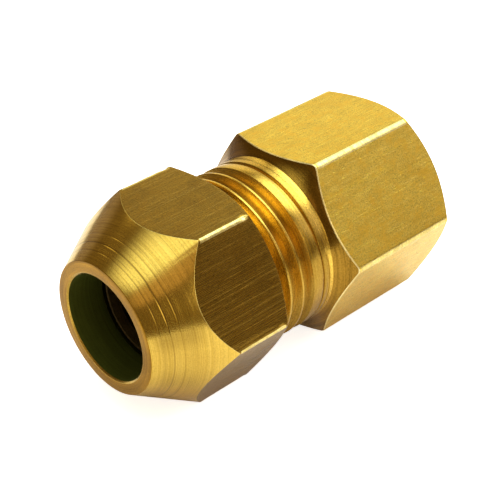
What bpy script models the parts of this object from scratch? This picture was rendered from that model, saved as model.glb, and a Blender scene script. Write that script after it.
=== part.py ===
"""A 45 degree flare fitting for 3/8 in tube, lying on its hexagons.

Three turned pieces share one axis, which runs along X:
  adapter_body  hexagonal body, male 5/8-18 UNF thread with a 45 degree nose in
                front, female 1/4-18 NPT thread in the rear end
  flare_nut     hexagonal nut with a long conical nose and a plain tube bore,
                screwed a little over three turns onto the adapter
  seal_ring     conical copper gasket held in the nut's seat

Every piece is a ring: at each angle round the axis its section is one closed
loop of (x, r) points, and the loops are bridged all the way round. Where a
helical thread crosses the start angle the loops are joined one pitch apart.

World frame: +X from the nut's nose to the adapter's rear end, +Z up, origin
at the bottom centre of the bounding box. x below is measured from the nut's
front face, in millimetres.
"""

import math

import bmesh
import bpy

MM = 0.001

# ---- driving dimensions (mm, degrees) --------------------------------------
HEX_AF = 17.0  # both hexagons, across flats
NUT_TURN = 3.34  # the nut's top flat leans this far to one side of vertical
BODY_TURN = -3.34  # and the adapter's leans as far the other way

PITCH = 25.4 / 18  # 5/8-18 UNF, and the same pitch on 1/4-18 NPT
PITCH_R = 7.479  # basic pitch radius of 5/8-18
GROOVE_X0 = 8.046  # a groove of the male thread is centred here at angle 0
FLANK = math.tan(math.radians(30.0))
PLAY = 0.05  # each flank stands back this far, along the axis

MALE_R, MALE_ROOT_R = 7.88, 7.01
NUT_MINOR_R, NUT_MAJOR_R = 7.26, 8.00

# flare nut
NOSE_RIM_R = 6.02
TUBE_BORE_R = 4.83
BORE_BREAK = 0.15
NOSE_SLOPE = 3.79 / 6.08  # radius gained per mm along the conical nose
SEAT_X = 3.60  # the 45 degree seat starts here, at the tube bore
SEAT_R = 7.30
RELIEF_R, RELIEF_X = 7.98, (6.35, 7.00)
NUT_LENGTH = 12.30
NUT_REAR_FLAT_X = 12.22  # rear chamfer meets the middle of each flat
NUT_REAR_SLOPE = 1.31 / 0.83
NUT_MOUTH_R = 8.02

# adapter body
NOSE_TIP_X, NOSE_TIP_R = 4.85, 4.10
NOSE_BASE_R = 6.85
NECK_X = 8.00
BODY_BORE_R = 3.55
SHOULDER_X = 18.72  # the hexagon's front chamfer meets the thread
FRONT_SLOPE = 1.394
BODY_REAR_FLAT_X = 32.46
BODY_REAR_SLOPE = 1.256
LENGTH = 32.70  # nut's front face to the adapter's rear face
CORNER_R = 1.0  # the adapter's hexagon keeps the rounded corners of its bar
RUNOUT_X = (15.9, 18.55)  # the male thread gets shallower between these

# female pipe thread, 1/4-18 NPT, taper 1 in 16 on the diameter
PIPE_MOUTH_R = 7.00
PIPE_MINOR_R, PIPE_DEPTH = 5.78, 0.90  # crest radius at the rear face; groove depth
PIPE_END_X = 22.2
PIPE_RUNOUT_X = (23.6, 22.6)
DRILL_END_X = 21.2
DRILL_R = 5.30

# copper gasket
SEAL_GAP = 0.30  # clear of the seat and of the nose
SEAL_R = (4.35, 6.85)

STEPS = (-30, -27, -18, -9, 0, 9, 18, 27)  # angles in one sixth, from a flat's middle


# ---- helpers ---------------------------------------------------------------
def angles(turn):
    """Angles round the axis, from +Y towards +Z: six flats, from the lowest angle up."""
    out = [90 + turn + 60 * k + s for k in range(6) for s in STEPS]
    return sorted(a % 360 for a in out)


def hex_radius(angle, turn, corner_r):
    """Distance from the axis to the hexagon at this angle, its corners rounded."""
    off = (angle - 90 - turn + 30) % 60 - 30
    flat = HEX_AF / 2 / math.cos(math.radians(off))
    if corner_r <= 0:
        return flat
    centre = (HEX_AF / 2 - corner_r) / math.cos(math.radians(30))
    away = math.radians(30 - abs(off))
    if away > math.atan2(corner_r * 0.5, centre + corner_r * math.cos(math.radians(30))):
        return flat
    return centre * math.cos(away) + math.sqrt(corner_r**2 - (centre * math.sin(away)) ** 2)


class Thread:
    """A helical groove in a cylinder or cone: where its edges are, and the radius anywhere."""

    def __init__(self, x0, turns, crest, root_half, depth, sign, limits, envelope):
        self.x0, self.turns, self.crest = x0, turns, crest
        self.root_half, self.depth, self.sign = root_half, depth, sign
        self.limits, self.envelope = limits, envelope

    def radius(self, x, angle):
        """crest radius, less (male) or plus (female) the groove, inside the envelope"""
        base = self.x0 + PITCH * angle / 360
        centre = base + PITCH * round((x - base) / PITCH)
        depth = self.depth(centre)
        half = self.root_half + depth * FLANK
        away = abs(x - centre)
        cut = min(depth, max(0.0, (half - away) / FLANK))
        r = self.crest(x) + self.sign * cut
        limit = self.envelope(x)
        return min(r, limit) if self.sign < 0 else max(r, limit)

    def points(self, angle):
        """(x, r) of the four edges of each groove, in order of x"""
        xs = []
        for k in self.turns:
            centre = self.x0 + PITCH * (angle / 360 + k)
            half = self.root_half + self.depth(centre) * FLANK + 0.004
            xs += [centre - half, centre - self.root_half, centre + self.root_half, centre + half]
        low, high = self.limits
        step, n = 0.012, len(xs)
        out = []
        for i, x in enumerate(xs):
            x = min(max(x, low + step * i), high - step * (n - 1 - i))
            out.append((x, self.radius(x, angle)))
        return out


def ramp(x, a, b):
    """0 at a, 1 at b"""
    return min(1.0, max(0.0, (x - a) / (b - a)))


male = Thread(
    GROOVE_X0,
    range(0, 8),
    lambda x: MALE_R,
    PITCH / 4 + (PITCH_R - MALE_ROOT_R) * -FLANK + PLAY,
    lambda x: (MALE_R - MALE_ROOT_R) * (0.012 + 0.988 * (1 - ramp(x, *RUNOUT_X))),
    -1,
    (8.62, 18.66),
    lambda x: NOSE_BASE_R + (x - NECK_X),
)
female = Thread(
    GROOVE_X0 + PITCH / 2,
    range(-1, 3),
    lambda x: NUT_MINOR_R,
    PITCH / 4 - (NUT_MAJOR_R - PITCH_R) * FLANK + PLAY,
    lambda x: NUT_MAJOR_R - NUT_MINOR_R,
    +1,
    (7.06, 12.24),
    lambda x: max(RELIEF_R - (x - RELIEF_X[1]), NUT_MOUTH_R - (NUT_LENGTH - x)),
)
pipe = Thread(
    22.9,
    range(0, 6),
    lambda x: PIPE_MINOR_R - (LENGTH - x) / 32,
    0.07,
    lambda x: PIPE_DEPTH * (0.012 + 0.988 * ramp(x, PIPE_RUNOUT_X[1], PIPE_RUNOUT_X[0])),
    +1,
    (PIPE_END_X + 0.2, 32.52),
    lambda x: PIPE_MOUTH_R - (LENGTH - x),
)


def seat_x(r):
    return SEAT_X + (r - TUBE_BORE_R)


def nose_x(r):
    return NOSE_TIP_X + (r - NOSE_TIP_R)


def nut_section(angle):
    """Closed loop of the nut's section: out along the nose, back through the thread."""
    hexagon = hex_radius(angle, NUT_TURN, 0)
    outer = [
        (0.0, TUBE_BORE_R + BORE_BREAK),
        (0.0, NOSE_RIM_R),
        ((hexagon - NOSE_RIM_R) / NOSE_SLOPE, hexagon),
        (NUT_REAR_FLAT_X - (hexagon - HEX_AF / 2) / NUT_REAR_SLOPE, hexagon),
        (NUT_LENGTH, HEX_AF / 2 - (NUT_LENGTH - NUT_REAR_FLAT_X) * NUT_REAR_SLOPE),
        (NUT_LENGTH, NUT_MOUTH_R),
    ]
    inner = [
        (RELIEF_X[1], RELIEF_R),
        (RELIEF_X[0], RELIEF_R),
        (seat_x(SEAT_R), SEAT_R),
        (SEAT_X, TUBE_BORE_R),
        (BORE_BREAK, TUBE_BORE_R),
    ]
    return [outer, list(reversed(female.points(angle))), inner]


def body_section(angle):
    """Closed loop of the adapter's section: out along the nose, back through the bore."""
    hexagon = hex_radius(angle, BODY_TURN, CORNER_R)
    front = [
        (NOSE_TIP_X, BODY_BORE_R + 0.2),
        (NOSE_TIP_X, NOSE_TIP_R),
        (nose_x(NOSE_BASE_R), NOSE_BASE_R),
        (NECK_X, NOSE_BASE_R),
    ]
    middle = [
        (SHOULDER_X, MALE_R),
        (SHOULDER_X + (hexagon - MALE_R) / FRONT_SLOPE, hexagon),
        (BODY_REAR_FLAT_X - (hexagon - HEX_AF / 2) / BODY_REAR_SLOPE, hexagon),
        (LENGTH, HEX_AF / 2 - (LENGTH - BODY_REAR_FLAT_X) * BODY_REAR_SLOPE),
        (LENGTH, PIPE_MOUTH_R),
    ]
    back = [
        (PIPE_END_X, DRILL_R),
        (DRILL_END_X, DRILL_R),
        (DRILL_END_X - (DRILL_R - BODY_BORE_R) * FLANK, BODY_BORE_R),
        (NOSE_TIP_X + 0.2, BODY_BORE_R),
    ]
    return [front, male.points(angle), middle, list(reversed(pipe.points(angle))), back]


def seal_section(_angle):
    """The gasket lies parallel to the seat and the nose, clear of both."""
    clear = SEAL_GAP * math.sqrt(2)
    r0, r1 = SEAL_R
    return [
        [
            (seat_x(r0) + clear, r0),
            (seat_x(r1) + clear, r1),
            (nose_x(r1) - clear, r1),
            (nose_x(r0) - clear, r0),
        ]
    ]


def ring(name, section, turn, threads, colour, roughness):
    """Bridges the sections round the axis. threads gives, for each run of a
    section that is helical, +1 where x rises along the run and -1 where it falls."""
    columns = angles(turn)
    bm = bmesh.new()
    loops = []
    for angle in columns:
        a = math.radians(angle)
        loops.append(
            [
                [bm.verts.new((x * MM, r * math.cos(a) * MM, r * math.sin(a) * MM)) for x, r in run]
                for run in section(angle)
            ]
        )

    def face(*corners):
        unique = list(dict.fromkeys(corners))
        if len(unique) > 2:
            bm.faces.new(unique)

    def strip(here, there):
        for i in range(len(here) - 1):
            face(here[i], there[i], there[i + 1])
            face(here[i], there[i + 1], here[i + 1])

    for j, runs in enumerate(loops):
        after = loops[(j + 1) % len(loops)]
        if j + 1 < len(loops):
            here = [v for run in runs for v in run]
            there = [v for run in after for v in run]
            strip(here + here[:1], there + there[:1])
            continue
        # the last column meets the first one turn on: its groove k meets groove k + 1
        here, there = [], []
        for i, (run, other) in enumerate(zip(runs, after)):
            way = threads.get(i, 0)
            if way > 0:
                here += [here[-1]] * 4 + run
                there += other + [after[i + 1][0]] * 4
            elif way < 0:
                here += run + [runs[i + 1][0]] * 4
                there += [there[-1]] * 4 + other
            else:
                here += run
                there += other
        strip(here + here[:1], there + there[:1])

    bmesh.ops.remove_doubles(bm, verts=bm.verts, dist=1e-8)
    bmesh.ops.recalc_face_normals(bm, faces=bm.faces)
    mesh = bpy.data.meshes.new(name)
    bm.to_mesh(mesh)
    bm.free()
    mesh.shade_smooth()
    mesh.set_sharp_from_angle(angle=math.radians(25))

    material = bpy.data.materials.new(name)
    material.use_nodes = True
    shader = material.node_tree.nodes["Principled BSDF"]
    shader.inputs["Base Color"].default_value = (*colour, 1)
    shader.inputs["Metallic"].default_value = 1.0
    shader.inputs["Roughness"].default_value = roughness
    mesh.materials.append(material)

    piece = bpy.data.objects.new(name, mesh)
    bpy.context.scene.collection.objects.link(piece)
    return piece


def main():
    for old in list(bpy.data.objects):
        bpy.data.objects.remove(old, do_unlink=True)

    # the fitting rests on a corner of each hexagon, so its axis is level
    axis_height = HEX_AF / 2 / math.cos(math.radians(30)) * math.cos(math.radians(30 - abs(NUT_TURN)))
    axis = bpy.data.objects.new("fitting_axis", None)
    axis.empty_display_size = 0.01
    axis.location = (-LENGTH / 2 * MM, 0, axis_height * MM)
    bpy.context.scene.collection.objects.link(axis)

    brass, dark_brass, copper = (0.62, 0.42, 0.12), (0.55, 0.36, 0.10), (0.72, 0.34, 0.18)
    pieces = [
        ring("adapter_body", body_section, BODY_TURN, {1: +1, 3: -1}, brass, 0.32),
        ring("flare_nut", nut_section, NUT_TURN, {1: -1}, dark_brass, 0.36),
        ring("seal_ring", seal_section, NUT_TURN, {}, copper, 0.40),
    ]
    for piece in pieces:
        piece.parent = axis


main()
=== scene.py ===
"""Looks of the flare fitting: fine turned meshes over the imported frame, brass and copper, light and camera."""

import math

import bpy
import numpy as np
from mathutils import Matrix, Vector


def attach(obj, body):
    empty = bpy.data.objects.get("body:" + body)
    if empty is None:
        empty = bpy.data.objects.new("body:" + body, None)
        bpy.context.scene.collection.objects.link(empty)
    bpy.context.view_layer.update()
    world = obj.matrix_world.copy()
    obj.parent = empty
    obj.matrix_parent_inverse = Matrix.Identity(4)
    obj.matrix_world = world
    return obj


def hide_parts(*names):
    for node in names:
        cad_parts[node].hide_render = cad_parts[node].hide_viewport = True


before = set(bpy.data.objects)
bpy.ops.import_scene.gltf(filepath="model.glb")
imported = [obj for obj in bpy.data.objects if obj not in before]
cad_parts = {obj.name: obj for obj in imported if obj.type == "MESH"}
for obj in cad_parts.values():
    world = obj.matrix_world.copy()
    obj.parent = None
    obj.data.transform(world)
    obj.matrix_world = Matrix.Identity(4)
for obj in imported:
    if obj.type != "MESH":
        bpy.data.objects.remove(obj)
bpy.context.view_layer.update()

MM = 0.001
LENGTH = 32.70
AXIS_Z = 8.5 / math.cos(math.radians(30)) * math.cos(math.radians(30 - 3.34))
PITCH = 25.4 / 18
HALF_AF = 8.5


# ------------------------------------------------------------------ geometry
def columns(turn, corner_r):
    """Angles round the axis: even steps, and close ones where the hexagon's corner bends."""
    edge = math.degrees(math.atan2(corner_r / 2, 9.3)) + 0.02
    local = list(np.arange(-28.5, 28.6, 1.1875)) + [-30 + edge * t for t in (0, 0.25, 0.5, 0.75, 1.0)]
    local += [30 - edge * t for t in (0.25, 0.5, 0.75, 1.0)]
    out = sorted({round((90 + turn + 60 * k + a) % 360, 5) for k in range(6) for a in local})
    return [a for i, a in enumerate(out) if i == 0 or a - out[i - 1] > 0.02]


def hexagon(angle, turn, corner_r):
    off = (angle - 90 - turn + 30) % 60 - 30
    flat = HALF_AF / math.cos(math.radians(off))
    centre = (HALF_AF - corner_r) / math.cos(math.radians(30))
    away = math.radians(30 - abs(off))
    if away > math.atan2(corner_r / 2, centre + corner_r * math.cos(math.radians(30))):
        return flat
    return centre * math.cos(away) + math.sqrt(max(corner_r**2 - (centre * math.sin(away)) ** 2, 0))


def bend(a, b, c, radius, n=4):
    """Points that round the corner b of the path a, b, c."""
    a, b, c = Vector(a), Vector(b), Vector(c)
    u, v = (a - b).normalized(), (c - b).normalized()
    half = math.acos(max(-1, min(1, u.dot(v)))) / 2
    reach = min(radius / math.tan(half), (a - b).length * 0.45, (c - b).length * 0.45)
    r = reach * math.tan(half)
    centre = b + (u + v).normalized() * (r / math.sin(half))
    p, q = b + u * reach - centre, b + v * reach - centre
    out = []
    for i in range(n):
        t = i / (n - 1)
        d = p.lerp(q, t)
        out.append(tuple(centre + d.normalized() * r))
    return out


def rounded(path, radii, n=4, closed=False):
    """The path with each corner that has a radius rounded. Entries are (x, r, region) and, if wanted, how much darker
    the colour is painted there, for painted shade and for dirt.
    """
    out = []
    for i, entry in enumerate(path):
        x, r, region = entry[:3]
        rad = abs(radii[i])
        if not rad or i in (0, len(path) - 1):
            out.append(entry)
            continue
        before, after = path[i - 1], path[i + 1]
        pts = bend(before[:2], (x, r), after[:2], rad, n)
        arc = "edge" if radii[i] < 0 else path[i - 1][2]
        out += [(*p, region if k == n - 1 else arc) for k, p in enumerate(pts)]
    return out


def divided(a, b, n):
    """n points from a, included, towards b, left out."""
    return [
        (a[0] + (b[0] - a[0]) * i / n, a[1] + (b[1] - a[1]) * i / n, a[2]) for i in range(n)
    ]


class Groove:
    """A helical thread groove with a round root, in points per turn."""

    N = 13

    def __init__(self, x0, turns, crest, depth, half, sign, low, high, envelope, region, root=0.28, ease=0.02,
                 drift=lambda x: 0.0):
        self.__dict__.update(locals())

    def shape(self, t, depth=1.0):
        e = self.root * min(1.0, 0.35 + depth)
        if abs(t) >= 1:
            return 0.0
        return (math.sqrt(1 + e * e) - math.sqrt(t * t + e * e)) / (math.sqrt(1 + e * e) - e)

    def grooves(self, angle):
        """Each turn's groove: where it is, its depth and its half width."""
        out = []
        for k in self.turns:
            centre = self.x0 + PITCH * (angle / 360 + k)
            depth = self.depth(centre)
            out.append((centre + self.drift(centre), depth, self.half(depth)))
        return out

    def radius(self, x, grooves):
        cut = 0.0
        for centre, depth, half in grooves:
            t = abs(x - centre) / half
            if t < 1:
                cut = max(cut, depth * self.shape(t, depth) + min(self.ease, depth) * t**8)
            else:  # the crest's edges are a little rounded
                cut = max(cut, min(self.ease, depth) * max(0.0, 1 - (t - 1) * half / 0.07) ** 2)
        r = self.crest(x) + self.sign * cut
        limit = self.envelope(x)
        return min(r, limit) if self.sign < 0 else max(r, limit)

    def points(self, angle):
        grooves = self.grooves(angle)
        xs = []
        for centre, _depth, half in grooves:
            room = 0.12 * (PITCH - 2 * half)
            inner = [centre + half * t for t in np.sin(np.linspace(-math.pi / 2, math.pi / 2, self.N - 2))]
            xs += [centre - half - room] + inner + [centre + half + room]
        n, step = len(xs), 0.004
        out = []
        # painted shade: the thread's lower side, from about 138 to 250 degrees round the axis, is darkened
        under = 0.55 * smooth(angle, 138, 166) * (1 - smooth(angle, 225, 250))
        for i, x in enumerate(xs):
            _centre, depth, _half = grooves[i // self.N]
            x = min(max(x, self.low + step * i), self.high - step * (n - 1 - i))
            inside = 1 <= i % self.N <= self.N - 2
            at = i % self.N - self.N // 2
            # painted shade along the root of each full-depth groove
            root = smooth(depth, 0.6, 0.85) * (0.8 if abs(at) <= 1 else 0.1 if abs(at) == 2 else 0.0)
            # the crests are painted darker towards the shoulder
            land = 0.20 * smooth(x, 15.2, 16.2)
            # the darkest of these, with painted shade inside the shallow grooves of the run-out
            dirt = max(under + land, root, 0.55 * inside * smooth(depth, 0.03, 0.12) * (1 - smooth(depth, 0.35, 0.75)))
            out.append((x, self.radius(x, grooves), self.region, dirt))
        return out


def smooth(x, a, b):
    t = min(1.0, max(0.0, (x - a) / (b - a)))
    return t * t * (3 - 2 * t)


def ring(name, section, angles, shifts, materials, body, node, slot):
    """A closed solid from one (x, r, region) loop at each angle, joined one pitch on where a thread crosses the start."""
    loops = [section(a) for a in angles]
    base, count, starts = 0, [], []
    verts, regions, dirt = [], [], []
    for a, runs in zip(angles, loops):
        c, s = math.cos(math.radians(a)), math.sin(math.radians(a))
        ids = []
        for run in runs:
            ids.append(list(range(len(verts), len(verts) + len(run))))
            for x, r, region, *rest in run:
                verts.append(((x - LENGTH / 2) * MM, r * c * MM, (r * s + AXIS_Z) * MM))
                regions.append(region)
                dirt.append(rest[0] if rest else 0.0)
        starts.append(ids)
    faces, face_regions, face_column = [], [], []

    def strip(here, there, column):
        for i in range(len(here) - 1):
            corners = list(dict.fromkeys((here[i], there[i], there[i + 1], here[i + 1])))
            if len(corners) > 2:
                faces.append(corners)
                face_regions.append(regions[here[i]])
                face_column.append(column)

    for j, ids in enumerate(starts):
        after = starts[(j + 1) % len(starts)]
        if j + 1 < len(starts):
            here = [v for run in ids for v in run]
            there = [v for run in after for v in run]
        else:
            here, there = [], []
            for i, (run, other) in enumerate(zip(ids, after)):
                way = shifts.get(i, 0)
                if way > 0:
                    here += [here[-1]] * Groove.N + run
                    there += other + [after[i + 1][0]] * Groove.N
                elif way < 0:
                    here += run + [ids[i + 1][0]] * Groove.N
                    there += [there[-1]] * Groove.N + other
                else:
                    here += run
                    there += other
        strip(here + here[:1], there + there[:1], j)

    mesh = bpy.data.meshes.new(name)
    mesh.from_pydata(verts, [], faces)
    # grain: turned faces run round the axis, drawn flats run along it
    co = np.array(verts) / MM
    y, z = co[:, 1], co[:, 2] - AXIS_Z
    radius, angle = np.hypot(y, z), np.arctan2(z, y)
    vectors = np.empty((len(mesh.loops), 3), np.float32)
    loop_vertex = np.empty(len(mesh.loops), np.int64)
    mesh.loops.foreach_get("vertex_index", loop_vertex)
    order = {n: i for i, n in enumerate(materials)}
    at = 0
    turned = np.stack([np.cos(angle) * 8, np.sin(angle) * 8, co[:, 0] * 1.0 + radius * 0.85], 1)
    for face, region in zip(faces, face_regions):
        n = len(face)
        if region.endswith("flat"):
            mid = np.mean(angle[face[:1]])
            # which flat, from the face's own normal direction
            p = co[face]
            centre = p.mean(0)
            a = math.atan2(centre[2] - AXIS_Z, centre[1])
            turn = section.turn
            k = round((math.degrees(a) - 90 - turn) / 60)
            m = math.radians(90 + turn + 60 * k)
            t = -math.sin(m) * y[face] + math.cos(m) * z[face]
            vectors[at : at + n] = np.stack([co[face, 0], t + 31.0 * k, np.full(n, 7.0 * k)], 1)
        else:
            vectors[at : at + n] = turned[face]
        at += n
    attribute = mesh.attributes.new("grain", "FLOAT_VECTOR", "CORNER")
    attribute.data.foreach_set("vector", vectors.reshape(-1))
    # per vertex: how far the colour is painted darker, for painted shade (underside, groove roots, scores) and dirt
    grime = mesh.attributes.new("grime", "FLOAT", "POINT")
    grime.data.foreach_set("value", np.array(dirt, np.float32))
    for material in materials.values():
        mesh.materials.append(material)
    mesh.polygons.foreach_set("material_index", [order[r] for r in face_regions])
    mesh.validate()
    mesh.update()
    mesh.shade_smooth()
    mesh.set_sharp_from_angle(angle=math.radians(40))
    piece = bpy.data.objects.new(name, mesh)
    bpy.context.scene.collection.objects.link(piece)
    weighted = piece.modifiers.new("face_weighted_normals", "WEIGHTED_NORMAL")
    weighted.mode = "FACE_AREA"
    weighted.keep_sharp = True
    weighted.weight = 60
    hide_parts(node)
    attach(piece, body)
    return piece


# ------------------------------------------------------------ thread profiles
def male_depth(x):
    return 0.87 * (0.004 + 0.996 * (1 - smooth(x, 15.7, 17.8)))


male = Groove(
    8.046, range(0, 8), lambda x: 7.88, male_depth, lambda d: 0.02 + d * (0.44 + 0.27 * d), -1, 8.62, 18.10,
    lambda x: 6.85 + (x - 8.0), "thread", root=0.36, ease=0.014, drift=lambda x: 0.42 * smooth(x, 16.0, 17.0),
)
female = Groove(
    8.046 + PITCH / 2, range(-1, 3), lambda x: 7.26, lambda x: 0.74, lambda d: 0.529, 1, 7.06, 12.24,
    lambda x: max(7.98 - (x - 7.0), 8.02 - (12.30 - x)), "inner", root=0.2,
)
pipe = Groove(
    22.9, range(0, 6), lambda x: 5.78 - (LENGTH - x) / 32,
    lambda x: 0.90 * (0.006 + 0.994 * smooth(x, 22.6, 23.6)), lambda d: 0.07 + d * 0.58, 1, 22.4, 32.52,
    lambda x: 7.00 - (LENGTH - x), "socket", root=0.2,
)

NUT_CORNER, BODY_CORNER = 0.28, 0.68


def ragged(x, seed):
    """Uneven wear along an edge, from about -1 to 1."""
    return (
        math.sin(4.7 * x + 3.1 * seed) + 0.7 * math.sin(11.3 * x + 1.7 * seed) + 0.5 * math.sin(27.1 * x + 5.3 * seed)
        + 0.35 * math.sin(61.0 * x + 2.9 * seed)
    ) / 2.1


def drawn(x0, x1, h, angle, turn, region, steps, wave, chip, ends, worn):
    """The flat from x0 to x1: a little wavy, as drawn bar is, with its corners nicked and rubbed at the ends."""
    off = (angle - 90 - turn + 30) % 60 - 30
    side = round((angle - turn - off - 90) / 60)
    corner = round((angle - turn - 60 - (1 if off < 0 else 0)) / 60) if abs(off) > 1 else 0
    near = max(0.0, 1 - (30 - abs(off)) / 1.6)
    out = []
    for i in range(steps + 1):
        t = i / steps
        x = x0 + (x1 - x0) * t
        fade = min(1.0, 6 * t, 6 * (1 - t))
        r = h - fade * wave * (1 + ragged(x * 0.23 + off * 0.021, side))
        bite = max(0.0, ragged(x, corner * 1.37 + 0.4) - 0.45)
        rub = smooth(x, x1 - ends[1], x1 - ends[1] * 0.3) if ends[1] else 0.0
        r -= near * (chip * (fade * bite + 0.35 * fade) + ends[0] * rub * (1 - smooth(t, 0.985, 1.0)))
        out.append((x, r, "edge" if abs(off) > 30 - worn else region))
    return out


def nut_section(angle):
    h = hexagon(angle, 3.34, NUT_CORNER)
    slope = 3.79 / 6.08

    def cone(x):
        return 6.02 + slope * x

    def score(x, half, depth, dirt):
        """A thin tool score round the cone, painted darker along it, with a guard line each side so its shading stays
        thin.
        """
        shape = [(x - half - 0.05, 0, under), (x - half, 0, under + 0.2), (x, depth, dirt), (x + half, 0, under + 0.2), (x + half + 0.05, 0, under)]
        return [(u, cone(u) - cut, "cone", d) for u, cut, d in shape]

    # painted shade on the cone's lower side
    under = 0.29 * smooth(angle, 157, 166) * (1 - smooth(angle, 200, 216))
    under += 0.30 * smooth(angle, 159, 166) * (1 - smooth(angle, 168, 178))
    meet = (h - 6.02) / slope
    path = [
        (0.30, 4.83, "bore"),
        (0.13, 4.83, "chamfer"),
        (0.0, 4.99, "rim"),
        (0.0, 5.50, "rim"),
        (0.0, 6.02, "cone", under),
        *score(0.97, 0.035, 0.009, 0.45),
        *score(1.62, 0.05, 0.021, 0.85),
        *score(2.35, 0.035, 0.011, 0.55),
        (3.2, cone(3.2), "cone", under),
        (meet, h, "nutflat"),
        (meet + 0.2, h, "nutflat"),
    ]
    rear = 12.22 - (h - 8.5) / (1.31 / 0.83)
    outer = rounded(path, [0, 0.05, 0.06, 0, 0.09] + [0] * 16 + [-0.06, 0])
    outer += drawn(meet + 0.22, rear - 0.22, h, angle, 3.34, "nutflat", 34, 0.0035, 0.07, (0.11, 1.0), 1.0)
    outer += rounded(
        [
            (rear - 0.2, h, "nutflat"),
            (rear, h, "chamfer"),
            (12.30, 8.5 - 0.08 * 1.31 / 0.83, "rear"),
            (12.30, 8.02, "inner"),
        ],
        [0, 0.06, 0.03, 0],
    )
    inner = rounded(
        [
            (7.00, 7.98, "inner"),
            (6.35, 7.98, "inner"),
            (3.60 + (7.30 - 4.83), 7.30, "seat"),
            (3.60, 4.83, "bore"),
            (1.9, 4.83, "bore"),
            (0.5, 4.83, "bore"),
        ],
        [0, 0.12, 0.05, 0.15, 0, 0],
    )
    return [outer, list(reversed(female.points(angle))), inner]


nut_section.turn = 3.34


def body_section(angle):
    h = hexagon(angle, -3.34, BODY_CORNER)
    front = rounded(
        [
            (5.2, 3.55, "nose"),
            (4.85, 3.72, "nose"),
            (4.85, 4.10, "nose"),
            (7.60, 6.85, "nose"),
            (8.00, 6.85, "nose"),
        ],
        [0, 0.06, 0.08, 0.06, 0],
    )
    # the last groove: cut only on the lower side, with painted shade inside it
    last_cut = 0.10 * smooth(angle, 160, 176) * (1 - smooth(angle, 206, 228))
    last_x = 18.26 + 0.0022 * (angle - 185)
    last = [
        (last_x + t * 0.085, 7.88 - last_cut * male.shape(t), "thread", 9 * last_cut * (abs(t) < 0.9)) for t in (-1, -0.7, -0.35, 0, 0.35, 0.7, 1)
    ]
    front_edge, back_edge = 18.72 + (h - 7.88) / 1.394, 32.46 - (h - 8.5) / 1.256
    middle = rounded(
        [
            (18.70, 7.875, "shoulder"),
            (18.74, 7.89, "shoulder"),
            (front_edge, h, "bodyflat"),
            (front_edge + 0.2, h, "bodyflat"),
        ],
        [0, 0, -0.17, 0],
    )
    middle = last + [(x, r, "arris" if region == "edge" else region) for x, r, region in middle]
    middle += drawn(front_edge + 0.22, back_edge - 0.24, h, angle, -3.34, "bodyflat", 40, 0.003, 0.012, (0.0, 0.0), 1.7)
    middle += rounded(
        [
            (back_edge - 0.22, h, "bodyflat"),
            (back_edge, h, "shoulder"),
            (LENGTH, 8.5 - (LENGTH - 32.46) * 1.256, "rear"),
            (LENGTH, 7.00, "socket"),
        ],
        [0, 0.10, 0.06, 0],
    )
    back = rounded(
        [
            (22.2, 5.30, "socket"),
            (21.2, 5.30, "socket"),
            (21.2 - 1.75 * 0.5774, 3.55, "socket"),
            (12.0, 3.55, "nose"),
            (5.6, 3.55, "nose"),
        ],
        [0, 0.1, 0.1, 0, 0],
    )
    return [front, male.points(angle), middle, list(reversed(pipe.points(angle))), back]


body_section.turn = -3.34


def seal_section(_angle):
    clear = 0.3 * math.sqrt(2)
    r0, r1 = 4.35, 6.85
    f = [(3.60 + (r - 4.83) + clear, r) for r in (r0, r1)]
    b = [(4.85 + (r - 4.10) - clear, r) for r in (r1, r0)]
    mid = ((f[0][0] + b[1][0]) / 2, r0)
    path = [(mid[0], r0, "copper"), (*f[0], "copper"), (*f[1], "copper"), (*b[0], "copper"), (*b[1], "copper"), (mid[0] + 0.05, r0, "copper")]
    return [rounded(path, [0, 0.2, 0.2, 0.2, 0.2, 0], n=6)]


seal_section.turn = 0.0


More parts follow.
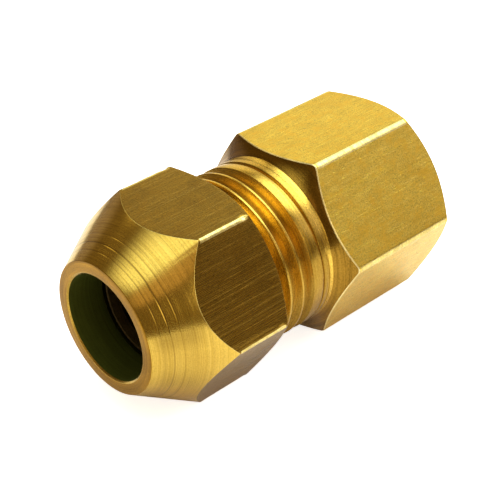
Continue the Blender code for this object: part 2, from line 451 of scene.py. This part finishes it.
# ------------------------------------------------------------------ materials
class Nodes:
    def __init__(self, name):
        self.material = bpy.data.materials.new(name)
        self.material.use_nodes = True
        self.tree = self.material.node_tree
        self.tree.nodes.clear()
        self.out = self.add("ShaderNodeOutputMaterial")
        self.shader = self.add("ShaderNodeBsdfPrincipled")
        self.link(self.shader, 0, self.out, 0)

    def add(self, kind, **values):
        node = self.tree.nodes.new(kind)
        for key, value in values.items():
            setattr(node, key, value)
        return node

    def link(self, a, i, b, j):
        self.tree.links.new(a.outputs[i], b.inputs[j])

    def scaled(self, source, output, scale):
        node = self.add("ShaderNodeMapping")
        node.inputs["Scale"].default_value = scale
        self.link(source, output, node, 0)
        return node

    def noise(self, source, scale, size=1.0, detail=3.0, rough=0.55, output=0):
        mapping = self.scaled(source, output, scale)
        node = self.add("ShaderNodeTexNoise")
        node.inputs["Scale"].default_value = size
        node.inputs["Detail"].default_value = detail
        node.inputs["Roughness"].default_value = rough
        self.link(mapping, 0, node, "Vector")
        return node

    def ramp(self, source, output, stops):
        node = self.add("ShaderNodeValToRGB")
        ramp = node.color_ramp
        while len(ramp.elements) > len(stops):
            ramp.elements.remove(ramp.elements[-1])
        while len(ramp.elements) < len(stops):
            ramp.elements.new(0.5)
        for element, (place, value) in zip(ramp.elements, stops):
            element.position = place
            element.color = (value, value, value, 1) if isinstance(value, (int, float)) else (*value, 1)
        self.link(source, output, node, 0)
        return node

    def mix(self, factor, a, b, blend="MIX", amount=None):
        node = self.add("ShaderNodeMix", data_type="RGBA", blend_type=blend)
        if factor is None:
            node.inputs["Factor"].default_value = amount
        else:
            self.link(factor[0], factor[1], node, 0)
        for value, socket in ((a, 6), (b, 7)):
            if isinstance(value, tuple) and isinstance(value[0], bpy.types.Node):
                self.link(value[0], value[1], node, socket)
            else:
                node.inputs[socket].default_value = (*value, 1)
        return node

    def range(self, source, output, low, high, a=0.0, b=1.0):
        node = self.add("ShaderNodeMapRange")
        node.inputs[1].default_value, node.inputs[2].default_value = a, b
        node.inputs[3].default_value, node.inputs[4].default_value = low, high
        self.link(source, output, node, 0)
        return node

    def bump(self, source, output, distance, strength=1.0, before=None):
        node = self.add("ShaderNodeBump")
        node.inputs["Strength"].default_value = strength
        node.inputs["Distance"].default_value = distance
        self.link(source, output, node, "Height")
        if before:
            self.link(before, 0, node, "Normal")
        return node


def metal(name, bright, dull, stain, roughness, along=0.12, across=5.0, streak=0.5, groove=6e-6, grit=3e-6,
          pits=0.0, pit_scale=(2.1, 1.2), mottle=0.35, rough_spread=0.07, fine=8.5, rings=0.0, lines=0.0, speckle=0.8, crisp=5.0, warm=0.0, tooling=3.6):
    """Turned or drawn metal: streaks along the grain, tarnish in soft patches, fine grit and, if asked, small pits."""
    n = Nodes(name)
    grain = n.add("ShaderNodeAttribute", attribute_name="grain")
    place = n.add("ShaderNodeTexCoord")
    streaks = n.noise(grain, (along, along, across) if across > 0 else (along, -across, 1.0), 1.0, crisp, 0.66, 1)
    broad = n.noise(
        grain, (along * 0.8, along * 0.8, across * 0.22) if across > 0 else (along * 0.8, -across * 0.22, 1.0),
        1.0, 3.0, 0.6, 1,
    )
    patches = n.noise(place, (260, 260, 260), 1.0, 4.0, 0.6, 3)
    grit_noise = n.noise(place, (1000 * fine,) * 3, 1.0, 2.0, 0.5, 3)
    tone = n.ramp(streaks, 0, [(0.36, 0.0), (0.62, 1.0)])
    colour = n.mix((tone, 0), dull, bright)
    wide = n.ramp(broad, 0, [(0.38, 0.0), (0.60, 1.0)])
    lift = n.range(wide, 0, 1 - streak * 0.5, 1.0)
    level = n.add("ShaderNodeVectorMath", operation="SCALE")
    n.link(colour, 2, level, 0)
    n.link(lift, 0, level, "Scale")
    spots = n.ramp(patches, 0, [(0.46, 0.0), (0.68, 1.0)])
    amount = n.range(spots, 0, 0.0, mottle)
    stained = n.mix((amount, 0), (level, 0), stain)
    speck = n.ramp(grit_noise, 0, [(0.28, 0.62), (0.50, 1.0), (0.74, 1.28)])
    final = n.mix(None, (stained, 2), (speck, 0), "MULTIPLY", speckle)
    height = n.bump(streaks, 0, groove)
    if rings:  # single deeper tool marks, dark with a bright lip
        marks = n.noise(grain, (0.03, 0.03, tooling), 1.0, 2.0, 0.45, 1)
        cut = n.ramp(marks, 0, [(0.605, 0.0), (0.632, 1.0), (0.66, 0.0)])
        cut_amount = n.range(cut, 0, 0.0, rings)
        final = n.mix((cut_amount, 0), (final, 2), tuple(c * 0.55 for c in stain))
        height = n.bump(cut, 0, -1e-6, before=height)
    if lines:  # long scratches along the bar, some bright and some dark
        fine_marks = n.noise(grain, (0.07, 7.5, 1.0), 1.0, 2.0, 0.5, 1)
        bright_cut = n.ramp(fine_marks, 0, [(0.635, 0.0), (0.665, 1.0), (0.70, 0.2)])
        dark_cut = n.ramp(fine_marks, 0, [(0.31, 0.3), (0.335, 1.0), (0.365, 0.0)])
        bright_amount = n.range(bright_cut, 0, 0.0, lines)
        dark_amount = n.range(dark_cut, 0, 0.0, lines)
        final = n.mix((bright_amount, 0), (final, 2), tuple(min(1.0, c * 1.35) for c in bright))
        final = n.mix((dark_amount, 0), (final, 2), tuple(c * 0.8 for c in stain))
        height = n.bump(bright_cut, 0, 6e-6 * min(1.0, lines * 9), before=height)
    height = n.bump(grit_noise, 0, grit, before=height)
    rough = n.range(streaks, 0, roughness + rough_spread, roughness - rough_spread, 0.3, 0.7)
    if pits:
        cells = n.add("ShaderNodeTexVoronoi", feature="F1")
        cells.inputs["Scale"].default_value = 1.0
        cells.inputs["Randomness"].default_value = 1.0
        mapping = n.scaled(grain, 1, (pit_scale[0], pit_scale[1], 1.0))
        warp = n.noise(grain, (1.3, 2.5, 1.0), 1.0, 2.0, 0.5, 1)
        bent = n.mix(None, (mapping, 0), (warp, 1), "LINEAR_LIGHT", 0.25)
        n.link(bent, 2, cells, "Vector")
        hole = n.ramp(cells, 0, [(0.06, 1.0), (0.15, 0.0)])
        keep = n.ramp(cells, 1, [(0.50, 0.0), (0.56, 1.0)])
        both = n.add("ShaderNodeMath", operation="MULTIPLY")
        n.link(hole, 0, both, 0)
        n.link(keep, 0, both, 1)
        shade = n.range(both, 0, 0.0, pits)
        final = n.mix((shade, 0), (final, 2), tuple(c * 0.35 for c in stain))
        height2 = n.add("ShaderNodeBump", invert=True)
        height2.inputs["Distance"].default_value = 3e-5
        height2.inputs["Strength"].default_value = 0.8
        n.link(both, 0, height2, "Height")
        n.link(height, 0, height2, "Normal")
        height = height2
    if warm:  # orange bloom where fingers and oil have been
        bloom = n.noise(place, (1150, 1150, 1150), 1.0, 3.0, 0.6, 3)
        bloomed = n.range(n.ramp(bloom, 0, [(0.47, 0.0), (0.66, 1.0)]), 0, 0.0, warm)
        final = n.mix((bloomed, 0), (final, 2), (bright[0] * 0.97, bright[1] * 0.80, bright[2] * 0.42))
    # painted shade and grime: the colour is pulled towards the dark stain by the per-vertex value
    grimy = n.add("ShaderNodeAttribute", attribute_name="grime")
    final = n.mix((n.range(grimy, 2, 0.0, 0.85), 0), (final, 2), tuple(c * 0.45 for c in stain))
    n.link(final, 2, n.shader, "Base Color")
    n.link(rough, 0, n.shader, "Roughness")
    n.link(height, 0, n.shader, "Normal")
    n.shader.inputs["Metallic"].default_value = 1.0
    return n.material


BRIGHT, DULL, STAIN = (0.82, 0.555, 0.105), (0.66, 0.42, 0.065), (0.42, 0.22, 0.03)

mats = {
    "cone": metal("brass_turned_nose", (0.82, 0.54, 0.10), (0.64, 0.40, 0.057), STAIN, 0.19, along=0.035, across=9.0, streak=0.16, groove=2.6e-6, mottle=0.18, rings=0.45, speckle=0.4, rough_spread=0.04, tooling=6.5),
    "rim": metal("brass_faced_rim", (0.48, 0.242, 0.016), (0.35, 0.17, 0.010), (0.18, 0.08, 0.005), 0.33, along=0.10, across=9.0, groove=5e-6, mottle=0.45),
    "edge": metal("brass_worn_edge", (0.93, 0.75, 0.27), (0.82, 0.62, 0.17), (0.6, 0.38, 0.08), 0.30, along=0.3, across=3.0, mottle=0.25),
    # the arris: burnished wear, with its base colour pushed brighter as a painted highlight along the body's front edge
    "arris": metal("brass_arris_wear_and_painted_highlight", (1.0, 0.81, 0.37), (0.95, 0.74, 0.30), (0.8, 0.6, 0.2), 0.36, along=0.3, across=3.0, mottle=0.15),
    # painted shade: the nut's flats are a darker copy of the drawn flat brass, as the light falls on them less than on
    # the body's
    "nutflat": metal("brass_drawn_flat_painted_shade", (0.415, 0.240, 0.033), (0.335, 0.190, 0.024), (0.20, 0.105, 0.011), 0.27, along=0.10, across=-12.0, streak=0.3, groove=1.2e-6, mottle=0.40, lines=0.055, crisp=4.0, warm=0.2, speckle=1.0),
    "bodyflat": metal("brass_drawn_flat", (0.84, 0.59, 0.085), (0.74, 0.49, 0.060), (0.52, 0.31, 0.03), 0.31, along=0.5, across=-5.0, streak=0.15, groove=3e-6, grit=7e-6, pits=1.0, pit_scale=(1.0, 2.7), mottle=0.32, lines=0.20, crisp=4.0, warm=0.55, speckle=0.9),
    "thread": metal("brass_cut_thread", (0.92, 0.59, 0.095), (0.77, 0.45, 0.062), (0.47, 0.235, 0.024), 0.27, along=0.05, across=11.0, streak=0.25, groove=3.2e-6, mottle=0.34, speckle=1.0, rings=0.55, tooling=5.0),
    # painted shade: the body's front chamfer is a much darker copy of the turned chamfer brass, so it reads dark where
    # the lighting leaves it light
    "shoulder": metal("brass_turned_chamfer", (0.43, 0.232, 0.029), (0.265, 0.137, 0.015), (0.16, 0.075, 0.007), 0.20, along=0.04, across=8.0, streak=0.4, groove=4e-6, mottle=0.25, rings=0.85, tooling=6.0),
    "chamfer": metal("brass_turned_chamfer_rear", (0.70, 0.45, 0.085), (0.50, 0.30, 0.045), (0.28, 0.14, 0.015), 0.24, along=0.04, across=9.0, streak=0.5, groove=5e-6, mottle=0.3, rings=0.6),
    "rear": metal("brass_faced_end", (0.78, 0.52, 0.10), (0.64, 0.41, 0.065), STAIN, 0.30, along=0.06, across=7.0, groove=6e-6, mottle=0.25, rings=0.4),
    # painted shade: the flare nose inside the nut is given a near-black brass
    "nose": metal("brass_flare_nose", (0.22, 0.19, 0.034), (0.17, 0.15, 0.026), (0.1, 0.08, 0.014), 0.5, along=0.04, across=7.0, streak=0.25, groove=3e-6, mottle=0.15),
    # the socket inside is given a darker brass than the outside
    "socket": metal("brass_inside_darker", (0.42, 0.28, 0.055), (0.27, 0.18, 0.032), (0.12, 0.08, 0.014), 0.38, along=0.05, across=6.0, groove=7e-6, mottle=0.5),
    "inner": metal("brass_nut_thread", (0.50, 0.32, 0.055), (0.34, 0.21, 0.03), (0.15, 0.085, 0.014), 0.36, along=0.05, across=6.0, groove=6e-6, mottle=0.5),
    # painted shade: the seat inside the nut is given a near-black brass
    "seat": metal("brass_nut_seat", (0.20, 0.19, 0.036), (0.15, 0.145, 0.027), (0.08, 0.075, 0.014), 0.55, along=0.05, across=7.0, groove=4e-6, mottle=0.4),
    # painted shade: the bore is given a near-black brass for the shade inside it
    "bore": metal("brass_bore_painted_shade", (0.115, 0.125, 0.019), (0.105, 0.115, 0.017), (0.09, 0.098, 0.013), 0.8, along=0.05, across=6.0, streak=0.1, groove=1e-6, mottle=0.2, speckle=0.3),
    # painted shade: the gasket is given a near-black copper for the shade inside the nut
    "copper": metal("copper_gasket", (0.20, 0.125, 0.045), (0.14, 0.09, 0.032), (0.06, 0.04, 0.016), 0.6, along=0.06, across=5.0, groove=4e-6, mottle=0.6),
}


def pick(*names):
    return {k: mats[k] for k in names}


nut = ring("nut_turned", nut_section, columns(3.34, NUT_CORNER), {1: -1},
           pick("bore", "edge", "rim", "cone", "nutflat", "chamfer", "rear", "inner", "seat"), "nut", "flare_nut", "flare_nut")
body = ring("adapter_turned", body_section, columns(-3.34, BODY_CORNER), {1: 1, 3: -1},
            pick("nose", "thread", "shoulder", "edge", "arris", "bodyflat", "rear", "socket"), "adapter", "adapter_body", "adapter_body")
seal = ring("gasket_pressed", seal_section, list(np.arange(0, 360, 2.5)), {}, pick("copper"), "seal", "seal_ring", "seal_ring")


# ------------------------------------------------------- floor, light, camera
floor_nodes = Nodes("floor_white")
floor_nodes.shader.inputs["Base Color"].default_value = (0.86, 0.86, 0.86, 1)
floor_nodes.shader.inputs["Roughness"].default_value = 0.8
floor_nodes.shader.inputs["Specular IOR Level"].default_value = 0.0
floor_nodes.shader.inputs["Emission Color"].default_value = (1, 1, 1, 1)
floor_path = floor_nodes.add("ShaderNodeLightPath")
floor_lift = floor_nodes.range(floor_path, 0, 0.0, 0.78)
floor_nodes.link(floor_lift, 0, floor_nodes.shader, "Emission Strength")
floor_mesh = bpy.data.meshes.new("floor")
FLOOR_R = 0.115
floor_rim = [(FLOOR_R * math.cos(math.radians(a)), FLOOR_R * math.sin(math.radians(a)), 0) for a in range(0, 360, 3)]
floor_mesh.from_pydata(floor_rim, [], [tuple(range(len(floor_rim)))])
floor_mesh.materials.append(floor_nodes.material)
floor = bpy.data.objects.new("floor", floor_mesh)
bpy.context.scene.collection.objects.link(floor)

# soft lamps that only whiten the floor: the metal mirrors the lit floor, and the room above it
for lamp_name, spot, size, power in (
    ("floor_wash", (0.05, 0.02, 0.22), 0.24, 0.345),
    ("floor_wash_low", (0.22, -0.17, 0.11), 0.16, 0.31),
):
    lamp_data = bpy.data.lights.new(lamp_name, "AREA")
    lamp_data.shape = "DISK"
    lamp_data.size = size
    lamp_data.energy = power
    lamp_data.color = (1.0, 0.93, 0.91)
    lamp = bpy.data.objects.new(lamp_name, lamp_data)
    lamp.location = spot
    lamp.rotation_euler = (Vector(spot) - Vector((0.01, -0.003, 0))).to_track_quat("Z", "Y").to_euler()
    lamp.visible_glossy = False
    bpy.context.scene.collection.objects.link(lamp)

world = bpy.data.worlds.new("studio")
bpy.context.scene.world = world
world.use_nodes = True
wt = world.node_tree
wt.nodes.clear()


def wnode(kind, **values):
    node = wt.nodes.new(kind)
    for key, value in values.items():
        setattr(node, key, value)
    return node


def wmath(operation, a, b=None):
    node = wnode("ShaderNodeMath", operation=operation)
    for i, value in enumerate((a, b)):
        if isinstance(value, (int, float)):
            node.inputs[i].default_value = value
        elif value is not None:
            wt.links.new(value, node.inputs[i])
    return node.outputs[0]


def wsoft(value, full, none):
    """1 at `full` and beyond, 0 at `none`, smooth between."""
    node = wnode("ShaderNodeMapRange", interpolation_type="SMOOTHSTEP")
    wt.links.new(value, node.inputs[0])
    for i, v in ((1, none), (2, full), (3, 0.0), (4, 1.0)):
        node.inputs[i].default_value = v
    return node.outputs[0]


def wadd(colour, factor, light):
    node = wnode("ShaderNodeMix", data_type="RGBA", blend_type="ADD")
    wt.links.new(factor, node.inputs[0])
    wt.links.new(colour, node.inputs[6])
    node.inputs[7].default_value = (*light, 1)
    return node.outputs[2]


where = wnode("ShaderNodeTexCoord")
split = wnode("ShaderNodeSeparateXYZ")
wt.links.new(where.outputs["Generated"], split.inputs[0])
dx, dy, dz = split.outputs
up = wmath("MAXIMUM", dz, 0.05)
px, py = wmath("DIVIDE", dx, up), wmath("DIVIDE", dy, up)


def panel(cx, hx, soft_x, near, far):
    """A rectangular panel overhead, in the plane at height 1. Along y, `near` and `far` are (full, none)."""
    ax = wmath("ABSOLUTE", wmath("SUBTRACT", px, cx))
    slanted = wmath("ADD", py, wmath("MULTIPLY", px, 0.173))
    along_y = wmath("MULTIPLY", wsoft(slanted, *near), wsoft(py, *far))
    inside = wmath("MULTIPLY", wsoft(ax, hx - soft_x, hx + soft_x), along_y)
    return wmath("MULTIPLY", inside, wsoft(dz, 0.2, 0.1))


def patch(azimuth, elevation, full, none):
    """A round softbox seen in that direction, with its soft edge between two angles."""
    a, e = math.radians(azimuth), math.radians(elevation)
    node = wnode("ShaderNodeVectorMath", operation="DOT_PRODUCT")
    wt.links.new(where.outputs["Generated"], node.inputs[0])
    node.inputs[1].default_value = (math.cos(e) * math.cos(a), math.cos(e) * math.sin(a), math.sin(e))
    return wsoft(node.outputs["Value"], math.cos(math.radians(full)), math.cos(math.radians(none)))


dark = wnode("ShaderNodeRGB")
dark.outputs[0].default_value = (0.182, 0.128, 0.058, 1)
room_light = wadd(dark.outputs[0], panel(0.17, 0.95, 0.20, (-0.41, -0.57), (-0.05, 0.74)), (1.50, 1.74, 1.80))
room_light = wadd(room_light, patch(50, 15, 13, 27), (1.0, 0.98, 0.63))
room_light = wadd(room_light, patch(-95, 26, 10, 25), (1.9, 1.72, 1.3))
room_light = wadd(room_light, patch(84, 46, 7, 16), (1.3, 1.15, 0.7))
room_light = wadd(room_light, patch(89, 5, 7, 17), (0.17, 0.16, 0.22))
room_light = wadd(room_light, patch(180, 8, 12, 30), (0.32, 0.26, 0.22))
room_light = wadd(room_light, patch(-140, 44, 8, 13), (0.46, 0.33, 0.24))
room_light = wadd(room_light, patch(2, 54, 12, 32), (1.5, 1.75, 1.9))
room_light = wadd(room_light, patch(-38, 28, 12, 24), (0.68, 0.69, 0.92))
room = wnode("ShaderNodeBackground")
wt.links.new(room_light, room.inputs[0])
seen = wnode("ShaderNodeBackground")
seen.inputs[0].default_value = (1, 1, 1, 1)
path = wnode("ShaderNodeLightPath")
mix = wnode("ShaderNodeMixShader")
wo = wnode("ShaderNodeOutputWorld")
wt.links.new(path.outputs["Is Camera Ray"], mix.inputs[0])
wt.links.new(room.outputs[0], mix.inputs[1])
wt.links.new(seen.outputs[0], mix.inputs[2])
wt.links.new(mix.outputs[0], wo.inputs[0])

camera_data = bpy.data.cameras.new("camera")
camera_data.sensor_width = 36.0
camera_data.lens = 36.0 * 2.6865
camera_data.clip_start, camera_data.clip_end = 0.005, 20
camera = bpy.data.objects.new("camera", camera_data)
right, down, ahead = Vector((0.73005, -0.68283, -0.02797)), Vector((-0.39450, -0.38767, -0.83312)), Vector((0.55803, 0.61925, -0.55239))
camera.matrix_world = Matrix.Translation(Vector((-0.066106, -0.073300, 0.074122))) @ Matrix((right, -down, -ahead)).transposed().to_4x4()
bpy.context.scene.collection.objects.link(camera)
bpy.context.scene.camera = camera
bpy.context.scene.view_settings.view_transform = "Standard"
